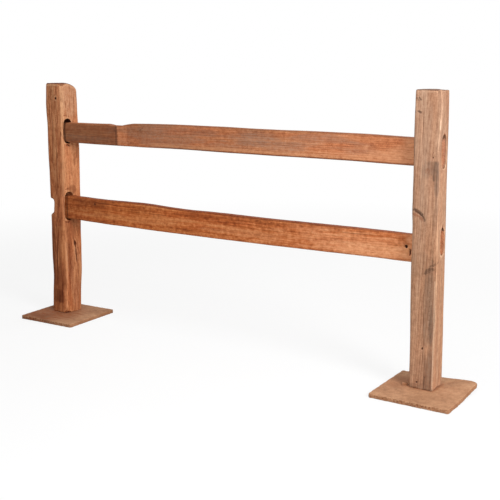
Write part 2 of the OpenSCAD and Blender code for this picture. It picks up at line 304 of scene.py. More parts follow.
class Timber:
    def __init__(self, name, s, piece=None):
        self.name, self.s = name, s
        self.piece = piece or skinned(name, s["grain"], s["squeeze"], s["skin"])
        mesh = self.piece.data
        self.count = len(mesh.vertices)
        self.origin = np.array(s["origin"]) * 1000
        self.points = self.read("co") * 1000 - self.origin
        self.normals = self.read("normal")
        edges = np.empty(len(mesh.edges) * 2, dtype=np.int64)
        mesh.edges.foreach_get("vertices", edges)
        self.edges = edges.reshape(-1, 2)
        self.links = np.bincount(self.edges.ravel(), minlength=self.count)
        self.grain = s["grain"]
        self.across = [axis for axis in (0, 1, 2) if axis != self.grain]
        self.sunk = np.zeros(self.count)
        self.fields = {key: np.zeros(self.count) for key in ("gap", "grey", "stain", "fresh", "calm")}
        # millimetres to the nearest hole's rim, and knot radii to the nearest knot's middle
        self.fields["holes"] = np.full(self.count, 9.0)
        self.fields["knots"] = np.full(self.count, 4.0)
        self.heart = self.woodSpace()
        self.tender = self.tenderness()
        self.arris = smooth(self.bulge(self.points, 14), 0.35, 1.1)
        self.fields["edge"] = self.wornEdges()

    def read(self, what):
        flat = np.empty(self.count * 3)
        self.piece.data.vertices.foreach_get(what, flat)
        return flat.reshape(-1, 3)

    # values evened out between neighbouring points
    def soften(self, values, rounds):
        a, b = self.edges.T
        for step in range(rounds):
            total = np.bincount(a, values[b], self.count) + np.bincount(b, values[a], self.count)
            values = values * 0.4 + total / self.links * 0.6
        return values

    # how far each point stands out of the same surface smoothed
    def bulge(self, points, rounds):
        soft = np.column_stack([self.soften(points[:, axis], rounds) for axis in (0, 1, 2)])
        return np.einsum("ij,ij->i", points - soft, self.normals)

    # coordinates that follow the grain: two across it, measured from the timber's own line, and one along it
    def woodSpace(self):
        along = self.points[:, self.grain]
        line = []
        for axis in self.across:
            bent = np.polynomial.polynomial.polyfit(along, self.points[:, axis], 4)
            line.append(self.points[:, axis] - np.polynomial.polynomial.polyval(along, bent))
        return np.column_stack((*line, along))

    # 0 inside a mortise or on a tenon, where the timbers meet, and 1 on the open faces;
    # the walls of a mortise get painted shade, as dark as its last number says
    def tenderness(self):
        free = np.ones(self.count)
        for low, high, dark in self.s["meeting"]:
            inside = np.ones(self.count)
            for axis in (0, 1, 2):
                value = self.points[:, axis]
                under = smooth(-value, -high[axis] - 3, 1 - high[axis])
                inside *= smooth(value, low[axis] - 3, low[axis] + 1) * under
            free = np.minimum(free, 1 - inside)
            # painted shade on the mortise walls
            wall = inside * smooth(-np.abs(self.normals[:, 0]), -0.8, -0.3)
            self.deepen("gap", wall * dark)
        return free

    # long edges painted pale, each named by the two faces it lies between, with its range along the grain:
    # rubbed wear, and on the left post's front-right arris a painted highlight as well
    def wornEdges(self):
        pale = np.zeros(self.count)
        for one, other, amount, low, high in self.s["edges"]:
            turned = np.minimum(self.facing(one), self.facing(other))
            rubbed = amount * smooth(turned, 0.05, 0.6) * self.inRange(low, high, 60) * self.tender
            pale = np.maximum(pale, rubbed)
        return self.soften(pale, 30)

    def facing(self, face):
        axis, side = faceSides[face]
        return self.normals[:, axis] * side

    # the part of the skin that looks the way a face does, and its two coordinates in that face
    def on(self, face):
        look = smooth(self.facing(face), 0.15, 0.55)
        plane = [self.points[:, axis] for axis in (0, 1, 2) if axis != faceSides[face][0]]
        return (look, *plane)

    # 1 in a range along the grain, fading out round both its ends
    def inRange(self, low, high, fade):
        along = self.points[:, self.grain]
        return smooth(along, low - fade, low + fade) * smooth(-along, -high - fade, fade - high)

    # distance from a place, as a share of a radius for each axis
    def reach(self, place, radii):
        return np.linalg.norm((self.points - np.array(place)) / np.array(radii), axis=1)

    # a field raised to an amount wherever it is lower
    def deepen(self, field, amount):
        self.fields[field] = np.maximum(self.fields[field], amount)

    def wave(self, size, height, seed):
        lift = cloud(self.points, size, seed) * height
        self.sunk += lift * (0.15 + 0.85 * self.tender)

    # ridges that follow the grain
    def ridges(self, width, length, height, seed):
        self.sunk += height * self.tender * cloud(self.heart, (width, width, length), seed)

    # the long edges worn down in dips, harder inside a range along the grain
    def arrisWear(self, size, depth, seed, low=-1e6, high=1e6, sides=None):
        worn = smooth(0.5 + 0.9 * cloud(self.points, size, seed), 0, 1)
        worn *= self.inRange(low, high, 30)
        if sides:
            worn *= np.min([smooth(self.facing(side), 0.1, 0.4) for side in sides], axis=0)
        self.sunk -= self.arris * worn * depth * self.tender

    # a cut end with its edges worn to a round
    def roundEnd(self, radius, rough, seed):
        top = self.points[:, 2].max()
        near = (self.points[:, 2] < top - radius) & (self.points[:, 2] > top - radius - 20)
        low, high = self.points[near].min(axis=0), self.points[near].max(axis=0)
        own = radius * (1 + rough * cloud(self.points, (18, 18, 18), seed))
        down = np.clip(own - (top - self.points[:, 2]), 0, None)
        for axis in (0, 1):
            for edge, side in ((low[axis], 1), (high[axis], -1)):
                inward = np.clip(own - (self.points[:, axis] - edge) * side, 0, None)
                far = np.hypot(inward, down)
                pull = np.where((far > own) & (inward > 0) & (down > 0), 1 - own / np.maximum(far, 1e-6), 0)
                self.points[:, axis] += inward * pull * side
                self.points[:, 2] -= down * pull
                down = np.clip(own - (top - self.points[:, 2]), 0, None)

    # a shallow dish worn into a cut end
    def dish(self, middle, radii, depth):
        top = self.points[:, 2].max()
        away = (self.points[:, :2] - np.array(middle)) / np.array(radii)
        reach = np.hypot(away[:, 0], away[:, 1])
        self.points[:, 2] -= depth * smooth(-reach, -1, 0) * smooth(self.points[:, 2], top - 14, top - 3)

    # grooves in groups by face, each a path with its width, depth, darkness, wobble and seed
    def grooves(self, groups):
        for face, rows in groups.items():
            for row in rows:
                self.groove(face, *row)

    def groove(self, face, path, width, depth, dark, wobble, seed):
        look, u, v = self.on(face)
        size = [14, 14, 14]
        size[self.grain] = 45
        u = u + wobble * cloud(self.points, size, seed + 11)
        v = v + wobble * cloud(self.points, size, seed + 29)
        ends = np.array(path, dtype=float)
        lengths = np.hypot(*(ends[1:] - ends[:-1]).T)
        total, run = lengths.sum(), 0
        near = np.full(self.count, 1e9)
        place = np.zeros(self.count)
        for (startU, startV), (endU, endV), length in zip(ends[:-1], ends[1:], lengths):
            share = (u - startU) * (endU - startU) + (v - startV) * (endV - startV)
            t = np.clip(share / length ** 2, 0, 1)
            far = np.hypot(u - startU - t * (endU - startU), v - startV - t * (endV - startV))
            closer = far < near
            near = np.where(closer, far, near)
            place = np.where(closer, (run + t * length) / total, place)
            run += length
        taper = np.clip(np.sin(np.pi * np.clip(place, 0.02, 0.98)), 0, 1) ** 0.5
        fall = np.clip(1 - near / (width * taper), 0, 1) * look
        self.sunk -= depth * taper * np.sqrt(fall)
        self.deepen("gap", dark * fall ** 0.7 * taper)

    def hole(self, face, place, radius, depth, dark=1.0):
        look, u, v = self.on(face)
        far = np.hypot(u - place[0], v - place[1])
        self.sunk -= depth * smooth(-far, -radius * 1.25, -radius * 0.6) * look
        rim = np.clip(far - radius + (1 - look) * 9 + (1 - dark) * 2, -9, 9)
        self.fields["holes"] = np.minimum(self.fields["holes"], rim)

    def knot(self, face, place, radius, tall=1.3, rise=0.5, dark=1.0, seed=1):
        look, u, v = self.on(face)
        du, dv = u - place[0], v - place[1]
        if self.grain == 0:
            du, dv = dv, du
        far = np.hypot(du / radius, dv / (radius * tall))
        far = far * (1 + 0.16 * cloud(self.points, (9, 9, 9), seed + 40))
        seen = np.clip(far + (1 - look) * 4 + 1 - dark, 0, 4)
        self.fields["knots"] = np.minimum(self.fields["knots"], seen)
        self.sunk += rise * look * smooth(-far, -2.0, -0.6)
        self.sunk -= 0.7 * look * smooth(-np.abs(far - 1.05), -0.16, 0)
        # the grain flows round the knot
        across = self.across[0] if faceSides[face][0] != self.across[0] else self.across[1]
        column = self.across.index(across)
        bend = np.exp(-(far / knotReach) ** 2) * look
        self.heart[:, column] -= du * bend

    # a flat flake split off: points above a plane come down to it
    def chip(self, place, facing, radii, rough=0.4, fresh=1.0, seed=1):
        facing = np.array(facing, dtype=float)
        facing /= np.linalg.norm(facing)
        reach = self.reach(place, radii) + 0.18 * cloud(self.points, (12, 12, 12), seed + 60)
        inside = smooth(-reach, -1.15, -0.85)
        above = (self.points - np.array(place)) @ facing - rough * cloud(self.heart, (3, 3, 20), seed + 61)
        cut = np.clip(above, 0, None) * inside
        self.points -= cut[:, None] * facing
        self.deepen("fresh", fresh * smooth(cut, 0.2, 1.2))

    # a rounded edge filled out again to a crisp one
    def keenEdge(self, one, other, radius, amount):
        most = np.maximum(self.facing(one), self.facing(other))
        turned = smooth(np.minimum(self.facing(one), self.facing(other)), 0.02, 0.2)
        self.sunk += turned * amount * radius * (1 / np.clip(most, 0.7, 1) - 1)

    def push(self, place, radii, move):
        self.points += smooth(-self.reach(place, radii), -1, 0)[:, None] * np.array(move)

    # a band along the top or foot edge of a face, drawn so far in from the edge
    def rim(self, field, face, edge, inset, width, amount, low=-1e6, high=1e6, ragged=0.5, seed=1):
        along = self.points[:, self.grain]
        stations = np.arange(along.min() + 20, along.max(), 30)
        rank = np.clip(np.round((along - stations[0]) / 30), 0, len(stations) - 1).astype(int)
        heights = self.points[:, 2] * faceSides[edge][1]
        outer = np.full(len(stations), -1e9)
        np.maximum.at(outer, rank, heights)
        within = np.interp(along, stations, outer) - heights
        reach = np.abs(within - inset) / width + ragged * cloud(self.heart, (10, 10, 70), seed + 90)
        band = amount * smooth(-reach, -1.2, -0.5) * self.on(face)[0] * self.tender
        self.deepen(field, band * self.inRange(low, high, 40))

    # a hard edge rubbed round inside a soft patch
    def relax(self, place, radii, rounds):
        amount = smooth(-self.reach(place, radii), -1, -0.6) * self.tender
        soft = np.column_stack([self.soften(self.points[:, axis], rounds) for axis in (0, 1, 2)])
        self.points += (soft - self.points) * amount[:, None]

    def swell(self, place, radii, amount):
        self.sunk += amount * smooth(-self.reach(place, radii), -1, 0)

    # soft patches in groups named by a field and the faces that show it; each row is a place, radii,
    # strength, raggedness and seed, and may end with how soft and how square its edge is
    def patches(self, groups):
        for group, rows in groups.items():
            field, *faces = group.split()
            for row in rows:
                self.patch(field, faces, *row)

    def patch(self, field, faces, place, radii, strength, ragged, seed, edge=0.35, square=2):
        away = np.abs(self.points - np.array(place)) / np.array(radii)
        reach = (away ** square).sum(axis=1) ** (1 / square)
        reach += ragged * cloud(self.heart, (14, 14, 90), seed + 80)
        amount = strength * smooth(-reach, -1 - edge, edge - 1)
        if faces:
            amount *= np.max([self.on(face)[0] for face in faces], axis=0)
        self.deepen(field, amount)

    def finish(self, material, slot):
        points = self.points + self.normals * self.sunk[:, None]
        low, high = (np.array(tuple(corner)) * 1000 - self.origin for corner in cadBox)
        points = np.clip(points, low + boxMargin, high - boxMargin)
        # a timber's ends keep their own colour, so they take no part in the pale worn tone
        relief = self.bulge(points, 9) * (1 - smooth(np.abs(self.normals[:, self.grain]), 0.1, 0.5))
        mesh = self.piece.data
        mesh.vertices.foreach_set("co", ((points + self.origin) / 1000).ravel())
        self.fields["relief"] = np.clip(relief, -2, 2)
        self.fields["endGrain"] = smooth(np.abs(self.normals[:, self.grain]), 0.55, 0.85)
        for key, value in self.fields.items():
            mesh.attributes.new(key, "FLOAT", "POINT").data.foreach_set("value", value)
        wood = mesh.attributes.new("wood", "FLOAT_VECTOR", "POINT")
        wood.data.foreach_set("vector", self.heart.ravel())
        mesh.update()
        mesh.materials.clear()
        mesh.materials.append(material)
        mesh.shade_smooth()
        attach(self.piece, "root")
        if self.name in nodes:
            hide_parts(self.name)
        print("timber", self.name, self.count, "points")
        return self.piece


def skinned(name, grain, squeeze, skin):
    piece = bpy.data.objects.new(name + "Timber", nodes[name].data.copy())
    bpy.context.collection.objects.link(piece)
    piece.select_set(True)
    bpy.context.view_layer.objects.active = piece
    pressed = [1, 1, 1]
    pressed[grain] = 1 / squeeze
    resize(pressed, merge=True)
    even = piece.modifiers.new("evenSkin", "REMESH")
    even.mode = "VOXEL"
    even.voxel_size = skin
    bpy.ops.object.modifier_apply(modifier="evenSkin")
    pressed[grain] = squeeze
    resize(pressed)
    bpy.ops.object.select_all(action="DESELECT")
    return piece


def resize(amount, merge=False):
    bpy.ops.object.mode_set(mode="EDIT")
    bpy.ops.mesh.select_all(action="SELECT")
    if merge:
        bpy.ops.mesh.remove_doubles(threshold=0.00001)
    bpy.ops.transform.resize(value=amount, center_override=(0, 0, 0))
    bpy.ops.object.mode_set(mode="OBJECT")


# distance from a straight line between two places, both in millimetres from the timber's origin
def segment(f, place, origin, start, end, stray):
    first = Vector(start) + Vector(origin) * 1000
    run = Vector(end) - Vector(start)
    away = f.node("VectorMath", {"operation": "SUBTRACT"}, [place, tuple(first)], out="Vector")
    part = f.node("VectorMath", {"operation": "DOT_PRODUCT"},
                  [away, tuple(run / run.length_squared)], out="Value").held()
    along = f.node("VectorMath", {"operation": "SCALE"}, {"Vector": tuple(run), "Scale": part}, out="Vector")
    rest = f.node("VectorMath", {"operation": "SUBTRACT"}, [away, along], out="Vector")
    return f.node("VectorMath", {"operation": "LENGTH"}, [rest], out="Value") + stray


# Timber finish: growth rings and fibres along the grain, weathered greys, dark hollows, pale worn edges

def timberFinish(name, s):
    f = Finish(name)
    wood = f.stored("wood", "Vector")
    place = f.millimetres()

    # noise drawn out along the grain
    def fibre(width, length, detail=3.0, rough=0.55, shift=0.0):
        scale = (1 / width, 1 / width, 1 / length)
        return f.drawnNoise(wood, scale, 1.0, detail, rough, (shift, shift * 1.7, shift * 0.6))

    def speckle(size, detail=2.0, shift=0.0):
        return f.drawnNoise(place, (1, 1, 1), size, detail, 0.5, (shift, shift, shift))

    across = f.node("SeparateXYZ", None, [wood], out="X")
    deep, along = (Wire(f, across.socket.node.outputs[key]) for key in "YZ")

    # growth rings round the heart of the tree, which lies beside the timber and runs a little askew
    heartX, heartY = s["heart"]
    skewX, skewY = s["skew"]
    sway = fibre(45, 420, detail=2.0, shift=3.1)
    ringX = across - heartX - along * skewX
    ringY = deep - heartY - along * skewY
    radius = (ringX * ringX + ringY * ringY) ** 0.5 + sway * s["sway"]
    phase = radius / s["ring"] + fibre(14, 260, shift=8.4) * 1.3
    ring = phase.math("FRACT", phase)
    late = ring.ease(0.45, 0.93) * (1 - ring.ease(0.93, 1.0))
    early = 1 - abs(ring * 2 - 1)

    long = s["long"]
    broad = fibre(26, 420, detail=3.0, shift=1.3)
    band = fibre(9, long * 2.4, detail=3.0, shift=15.5)
    streak = fibre(4.5, long, detail=4.0, rough=0.6, shift=5.2)
    fine = fibre(1.3, long / 3, detail=4.0, rough=0.65, shift=9.9)
    blotch = fibre(8, 20, detail=4.0, rough=0.6, shift=21.3)
    mottle = speckle(16, detail=4.0, shift=2.0)
    speck = speckle(4.5, detail=3.0, shift=11.0)

    relief, gap, holes, knots, edge = map(f.stored, ("relief", "gap", "holes", "knots", "edge"))
    grey, stain, fresh, endGrain = map(f.stored, ("grey", "stain", "fresh", "endGrain"))

    drawn = band * s["band"] + streak * s["streak"] + fine * s["fine"]
    tone = (0.5 + broad * s["broad"] + drawn * (1 - f.stored("calm") * 0.65)
            + mottle * s["mottle"] + blotch * s["blotch"] + speck * s["speck"]
            + (0.3 - late * (1 + streak * 3)) * s["rings"])
    tone = tone.held()
    colour = f.threeTones(tone, s)
    warm = (fibre(30, 300, detail=2.0, shift=12.7) * 3.2 + 0.5).held()
    colour = f.blend(warm * s["warmth"], colour, s["warmTone"], "MULTIPLY")

    greyed = (grey * (0.8 + streak * 1.2 + blotch * 1.6 + speck * 1.4)).held()
    colour = f.blend(greyed, colour, f.blend(tone, s["greyDeep"], s["greyTone"]))
    bright = (fresh * (0.9 + fine * 1.5 + blotch)).held()
    colour = f.blend(bright, colour, f.blend(tone, s["freshDeep"], s["freshTone"]))

    # end grain is darker and shows the rings; edges wear pale, with a painted highlight on the left post's
    # front-right arris; hollows get painted shade
    colour = f.blend(endGrain * (0.6 + 0.4 * late), colour, s["endTone"], "MULTIPLY")
    # pale worn edges, with the painted highlight from the edge field
    rubbed = relief.ease(0.12, 0.75) * s["wear"]
    rubbed = rubbed.math("MAXIMUM", rubbed, edge)
    worn = (rubbed * (0.8 + streak * 1.6 + blotch * 1.4)).held()
    colour = f.blend(worn, colour, s["wornTone"])
    # the timber darkens or warms along its length
    start, end = s["tints"][0][0], s["tints"][-1][0]
    share = (along + broad * 160 - start) / (end - start)
    stops = [((at - start) / (end - start), shade) for at, shade in s["tints"]]
    tint = f.node("ValToRGB", {"stops": stops}, [share], out="Color")
    colour = f.blend(1.0, colour, tint, "MULTIPLY")
    # painted shade darkens the hollows
    hollow = ((0 - relief).ease(0.1, 0.7) * s["dirt"]).held()
    colour = f.blend(hollow, colour, s["dirtTone"], "MULTIPLY")
    stained = (stain * (0.9 + streak * 1.2 + blotch * 1.2 + speck * 0.8)).held()
    colour = f.blend(stained, colour, s["stainTone"], "MULTIPLY")
    core = 1 - (knots + fine * 0.3).ease(0.85, 1.15)
    rings = (knots * 14).math("SINE", knots * 14) * 0.5 + 0.5
    rim = 1 - abs(knots + fine * 0.2 - 1.02).ease(0.02, 0.16)
    colour = f.blend(core * (0.7 + rings * 0.3), colour, s["knotTone"], "MULTIPLY")
    colour = f.blend(rim * 0.75, colour, s["gapTone"])
    # lines drawn across the grain or down an edge, each set in a tone of its own
    for toneName, lines in s.get("marks", {}).items():
        drawn = None
        for path, width, amount in lines:
            for first, second in zip(path[:-1], path[1:]):
                near = segment(f, place, s["origin"], first, second, speck * 5 + mottle * 4)
                line = (1 - near.ease(width * 0.35, width)) * amount
                drawn = line if drawn is None else drawn.math("MAXIMUM", drawn, line)
        colour = f.blend((drawn * (0.9 + streak * 1.5)).held(), colour, s[toneName])
    pitSpace = f.node("Mapping", None, {"Vector": wood, "Scale": (1 / 5.5, 1 / 5.5, 1 / 17)}, out="Vector")
    pits = f.node("TexVoronoi", None, {"Vector": pitSpace, "Scale": 1.0}, out="Distance")
    pitted = ((0.17 - pits).ease(0.0, 0.1) * (speckle(30, shift=6.0) * 6 - 0.2).held() * s["pits"]).held()
    colour = f.blend(pitted, colour, s["dirtTone"], "MULTIPLY")
    colour = f.blend(gap.ease(0.1, 0.9), colour, s["gapTone"])
    ringed = (1 - abs(holes - 1.6).ease(0.2, 1.5)) * s.get("holeRing", 0.0)
    colour = f.blend(ringed, colour, s["freshTone"])
    bored = 1 - holes.ease(-0.9, 0.7)
    colour = f.blend(bored, colour, s["gapTone"])

    height = (fine * 0.35 + streak * 0.5 + speck * 0.3 - late * s["ringDepth"] + early * 0.05
              - pitted * 0.5 - rim * 0.8 - bored * 2 + speckle(2.2, shift=4.0) * 0.22)
    rough = (s["roughness"] + fine * 0.25 + mottle * 0.15 - worn * 0.12 + gap * 0.1).held()
    f.set(Base_Color=colour, Roughness=rough, Normal=f.bump(s["bump"], height))
    f.shader.inputs["Specular IOR Level"].default_value = s["sheen"]
    return f.material


# The two posts stand on their plates, each a little off its plate's middle
heightLine = 0.003  # heights are counted from here, just above the ground


def footOf(plate, offset):
    low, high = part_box(plate)
    return ((low[0] + high[0]) / 2 + offset[0], (low[1] + high[1]) / 2 + offset[1], heightLine)


leftFoot = footOf("left_base_plate", (-0.030, 0.033))
rightFoot = footOf("right_base_plate", (-0.014, 0.0384))

leftPost = {
    "origin": leftFoot, "grain": 2, "squeeze": 2.5, "skin": 0.0017,
    "meeting": [((-60, -39, 456), (60, 5, 600), 0.0), ((-60, -39, 817), (60, 5, 942), 0.8)],
    # the front-right arris is painted pale down its length: wear with a painted highlight
    "edges": [("front", "right", 0.65, 560, 1200), ("front", "right", 0.3, -100, 560),
              ("back", "right", 0.2, 0, 1200)],
    "heart": (-26, 70), "skew": (0.03, -0.05), "sway": 22, "ring": 7.5, "long": 100,
    "broad": 0.6, "band": 1.4, "streak": 1.5, "fine": 0.8, "mottle": 0.6, "blotch": 0.8, "speck": 0.8,
    "rings": 0.3, "ringDepth": 0.35,
    "warmth": 0.35, "wear": 0.6, "dirt": 0.75, "pits": 0.8,
    "bump": 0.8, "roughness": 0.72, "sheen": 0.15,
    **tones(deepTone=(136, 78, 44), bodyTone=(194, 128, 88), paleTone=(225, 166, 122)),
    "tints": [(0, (0.76, 0.62, 0.5)), (400, (0.8, 0.66, 0.54)), (500, (0.92, 0.82, 0.72)),
              (800, (0.92, 0.85, 0.76)), (1100, (0.88, 0.9, 0.88))],
    **tones(warmTone=(255, 205, 180), greyDeep=(158, 112, 84), greyTone=(214, 164, 132),
            stainTone=(182, 168, 158), freshDeep=(186, 120, 78), freshTone=(228, 168, 122),
            endTone=(150, 120, 104), wornTone=(236, 185, 143), dirtTone=(140, 92, 66),
            knotTone=(96, 60, 42), gapTone=(52, 20, 8)),
    "marks": {
        # painted highlight along the front-right arris
        "lightTone": [
            ([(46, -42, 1000), (46, -42, 884), (45, -43, 792), (44, -44, 699), (42, -46, 606),
              (41, -47, 536)], 5.0, 0.6),
            ([(46, -42, 440), (46, -42, 393), (45, -43, 322), (45, -43, 274), (48, -38, 224),
              (45, -43, 187), (48, -37, 137), (47, -41, 90), (42, -46, 62), (39, -48, 22)], 9.0, 0.9),
        ],
        "darkTone": [
            ([(49, -29, 452), (49, -27, 404), (49, -28, 342), (49, -26, 280), (49, -20, 230),
              (49, -28, 184), (49, -17, 133), (49, -26, 86), (47, -38, 60)], 8.0, 0.75),
            ([(49, -34, 926), (48, -37, 900), (49, -33, 879), (48, -38, 856), (48, -39, 837),
              (49, -31, 823)], 5.5, 0.9),
            ([(49, -36, 590), (49, -38, 550), (49, -36, 500)], 5.0, 0.6),
            ([(49, -20, 812), (49, -10, 806)], 6.0, 0.6),
            ([(-13, -49, 262), (-11, -49, 228), (-9, -49, 195), (-21, -49, 149)], 9.0, 0.55),
            ([(-35, -49, 300), (-36, -49, 216), (-36, -49, 150)], 9.0, 0.5),
            ([(33, -49, 872), (34, -49, 856)], 5.0, 0.7),
            ([(8, -49, 774), (9, -49, 754)], 5.0, 0.6),
            ([(9, -49, 912), (8, -49, 872)], 3.5, 0.5),
            ([(45, -47, 632), (45, -47, 616)], 5.0, 0.6),
        ],
    },
    **tones(lightTone=(226, 162, 118), darkTone=(110, 52, 26)),
    "grooves": {
        "front": [
            # long hewn grooves down the front
            ([(-15, 478), (-12, 390), (-13, 290), (-15, 200), (-12, 110)], 4.5, 2.4, 0.5, 2.0, 1),
            ([(-36, 470), (-38, 330), (-35, 150)], 5, 2.2, 0.5, 2.0, 2),
            ([(10, 470), (8, 440)], 4, 1.0, 0.3, 2.5, 3),
            ([(-22, 1040), (-20, 900), (-24, 700)], 4, 1.5, 0.4, 2.0, 4),
            ([(2, 900), (0, 800), (4, 640)], 3.5, 1.2, 0.4, 2.0, 5),
            ([(20, 860), (18, 700), (22, 560)], 3, 0.8, 0.3, 2.0, 6),
        ],
        "right": [
            # drying crack and the flamed grain under it
            ([(4, 362), (8, 345), (10, 322)], 7.5, 5, 0.8, 1.2, 7),
            ([(10, 345), (11, 310), (12, 270), (14, 250)], 4.5, 4, 0.7, 1.0, 20),
            ([(16, 262), (-3, 232), (-12, 206), (-19, 187)], 2.6, 1.0, 0.45, 1.0, 8),
            ([(17, 262), (29, 226), (22, 164)], 2.4, 0.9, 0.4, 1.0, 9),
            ([(-26, 146), (-32, 112), (-38, 79)], 3.0, 1.2, 0.4, 1.5, 10),
            ([(30, 330), (33, 230), (28, 90)], 2.5, 0.9, 0.35, 1.5, 12),
            # ragged front lip of the upper slot, and pits under it
            ([(-39, 922), (-42, 896), (-39, 874), (-43, 850), (-40, 822)], 4.0, 1.5, 0.4, 2.0, 17),
            ([(-24, 816), (-16, 810), (-10, 804)], 3.5, 1.5, 0.8, 1.0, 18),
            ([(-39, 596), (-42, 570), (-40, 530), (-42, 480)], 3.6, 1.5, 0.3, 2.0, 19),
        ],
        "back": [
            ([(-12, 1000), (-8, 820), (-14, 640), (-10, 430)], 3.4, 4.0, 0.9, 2.2, 13),
            ([(20, 560), (23, 330), (18, 90)], 3.0, 2.6, 0.8, 2.2, 14),
        ],
        "left": [
            ([(10, 960), (14, 700), (8, 480)], 3.2, 3.0, 0.8, 2.2, 15),
            ([(-18, 400), (-14, 210), (-20, 60)], 3.6, 2.4, 0.7, 2.2, 16),
        ],
    },
    "patches": {
        "calm right": [((60, 0, 740), (30, 70, 420), 1.0, 0.2, 11)],
        "stain": [
            ((-32, -49, 270), (17, 16, 215), 0.8, 0.3, 4, 0.2),
            ((20, -49, 640), (70, 12, 190), 0.3, 0.5, 7),
            ((49, -20, 420), (14, 30, 60), 0.5, 0.4, 8),
            ((0, 0, 1098), (90, 90, 7), 0.8, 0.1, 13),
        ],
        "stain right": [
            ((49, -24, 330), (14, 12, 160), 0.6, 0.4, 12, 0.4),
            ((49, -2, 602), (14, 24, 20), 0.7, 0.4, 2, 0.3),
        ],
        "stain front": [
            ((-8, -49, 94), (34, 16, 32), 1.0, 0.25, 1, 0.15, 4),
            ((0, -49, 170), (50, 16, 60), 0.55, 0.4, 3),
        ],
        # painted light in the top of the lower slot, lifting its shade
        "fresh": [((20, -17, 592), (36, 26, 14), 1.0, 0.1, 16)],
        "fresh front": [
            ((10, -49, 420), (32, 14, 12), 0.6, 0.3, 5, 0.2),
            ((18, -49, 320), (26, 14, 70), 0.35, 0.5, 9),
        ],
        "fresh front right": [((20, -49, 30), (60, 60, 30), 0.5, 0.5, 10)],
        "grey right": [
            ((49, 0, 1040), (16, 60, 110), 0.6, 0.4, 6),
            ((49, 14, 150), (16, 34, 190), 0.6, 0.6, 14),
        ],
        "fresh right": [((49, 12, 205), (16, 26, 60), 0.4, 0.8, 15)],
    },
}


def makeLeftPost(s):
    post = Timber("left_post", s)
    post.relax((44, -44, 560), (34, 34, 900), 90)
    post.roundEnd(8, 0.4, 1)
    post.wave((38, 38, 120), 1.3, 3)
    post.wave((16, 16, 60), 0.6, 8)
    post.ridges(7, 150, 0.55, 5)
    post.ridges(3.4, 80, 0.3, 6)
    post.arrisWear((24, 24, 40), 2.0, 4)
    post.arrisWear((26, 26, 45), 3.0, 9, 20, 470, ("front", "right"))
    post.grooves(s["grooves"])
    post.knot("back", (22, 735), 13, 1.4, 0.8, 1.0, seed=1)
    post.knot("left", (-6, 248), 10, 1.5, 0.6, 0.9, seed=2)
    post.hole("front", (6, 1026), 5.6, 4)
    post.patches(s["patches"])
    return post.finish(timberFinish("leftPostWood", s), "left_post_wood")


